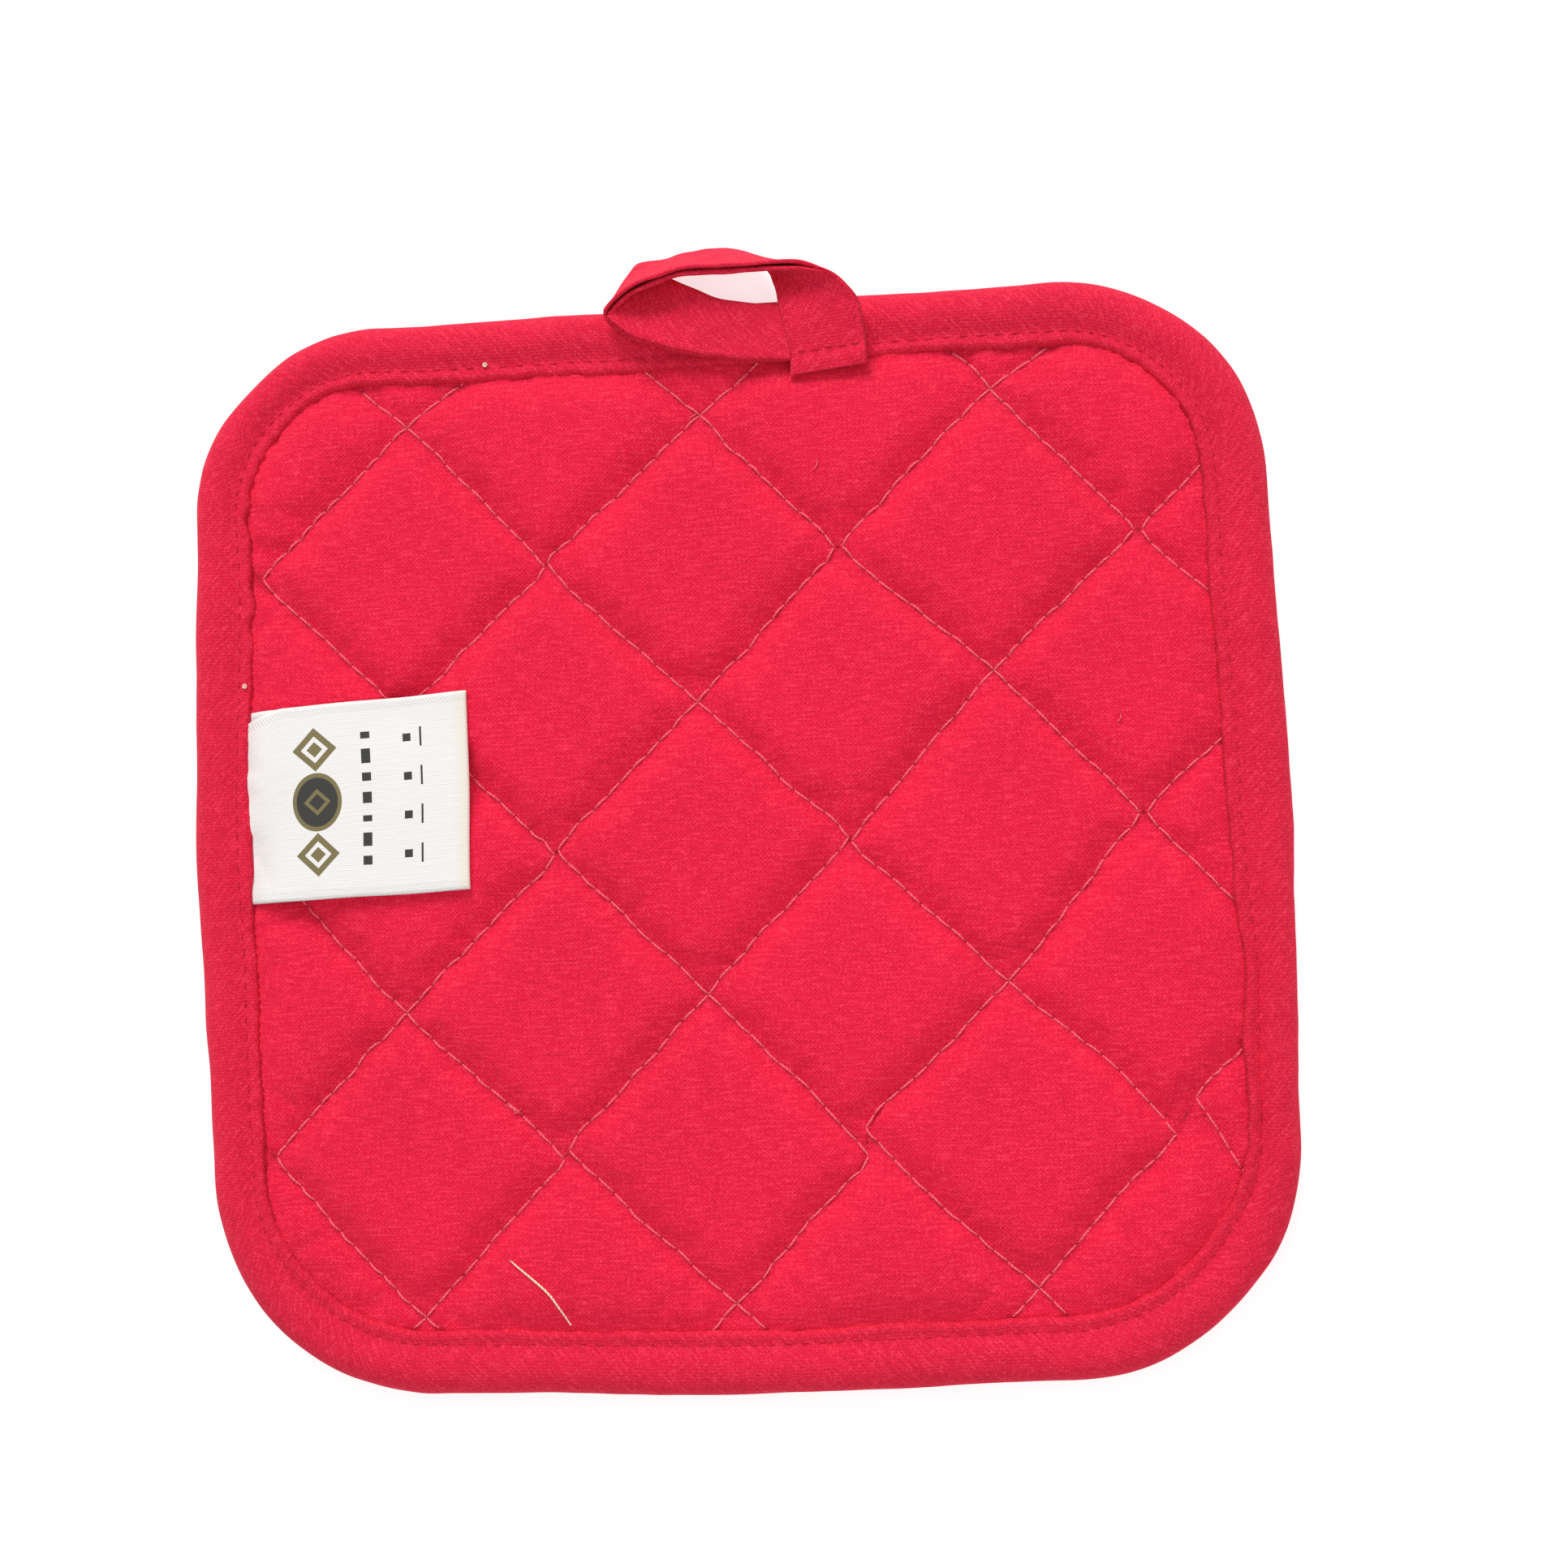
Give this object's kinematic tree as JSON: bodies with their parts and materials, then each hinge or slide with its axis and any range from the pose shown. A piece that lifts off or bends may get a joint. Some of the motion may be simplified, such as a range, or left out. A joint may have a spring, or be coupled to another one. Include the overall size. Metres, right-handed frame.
{
  "type": "pot holder",
  "caption": "Square quilted cotton pot holder with rounded corners, diamond quilting, a bias-bound edge, a hanging loop folded from the end of the binding, and a ribbon label.",
  "frame": {"origin": "centre of the back face, on the surface the pad lies on", "axes": "+X to the right and +Y towards the hanging loop seen from the front, +Z out of the front face"},
  "size_m": [0.1918, 0.2006, 0.0124],
  "materials": {
    "quilted_cotton": "plain-weave cotton, matt",
    "batting": "lofty fibre",
    "binding_tape": "bias-cut plain-weave cotton, matt",
    "quilting_thread": "spun sewing thread",
    "seam_thread": "spun sewing thread",
    "label_ribbon": "woven satin ribbon, soft sheen"
  },
  "bodies": {
    "root": {"front_cover": "quilted_cotton", "batting": "batting", "back_cover": "quilted_cotton", "edge_binding": "binding_tape", "binding_needle_thread": "seam_thread", "binding_bobbin_thread": "seam_thread", "quilting_needle_thread_01": "quilting_thread", "quilting_needle_thread_02": "quilting_thread", "quilting_needle_thread_03": "quilting_thread", "quilting_needle_thread_04": "quilting_thread", "quilting_needle_thread_05": "quilting_thread", "quilting_needle_thread_06": "quilting_thread", "quilting_needle_thread_07": "quilting_thread", "quilting_needle_thread_08": "quilting_thread", "quilting_needle_thread_09": "quilting_thread", "quilting_bobbin_thread_01": "quilting_thread", "quilting_bobbin_thread_02": "quilting_thread", "quilting_bobbin_thread_03": "quilting_thread", "quilting_bobbin_thread_04": "quilting_thread", "quilting_bobbin_thread_05": "quilting_thread", "quilting_bobbin_thread_06": "quilting_thread", "quilting_bobbin_thread_07": "quilting_thread", "quilting_bobbin_thread_08": "quilting_thread", "quilting_bobbin_thread_09": "quilting_thread", "loop_sewn_start": "binding_tape", "loop_tacked_end": "binding_tape", "loop_tack_thread": "seam_thread", "label_sewn_end": "label_ribbon"},
    "loop": {"hanging_loop": "binding_tape"},
    "label": {"label_flap": "label_ribbon"}
  },
  "joints": [
    {"name": "loop_fold", "type": "hinge", "parent": "root", "child": "loop", "pos_m": [0.0007, 0.0842, 0.009], "axis": [0.9951, 0.0985, 0], "range_deg": [0, 135]},
    {"name": "label_flip", "type": "hinge", "parent": "root", "child": "label", "pos_m": [-0.0832, 0.0097, 0.0072], "axis": [0.0227, -0.9997, 0], "range_deg": [0, 150]}
  ]
}
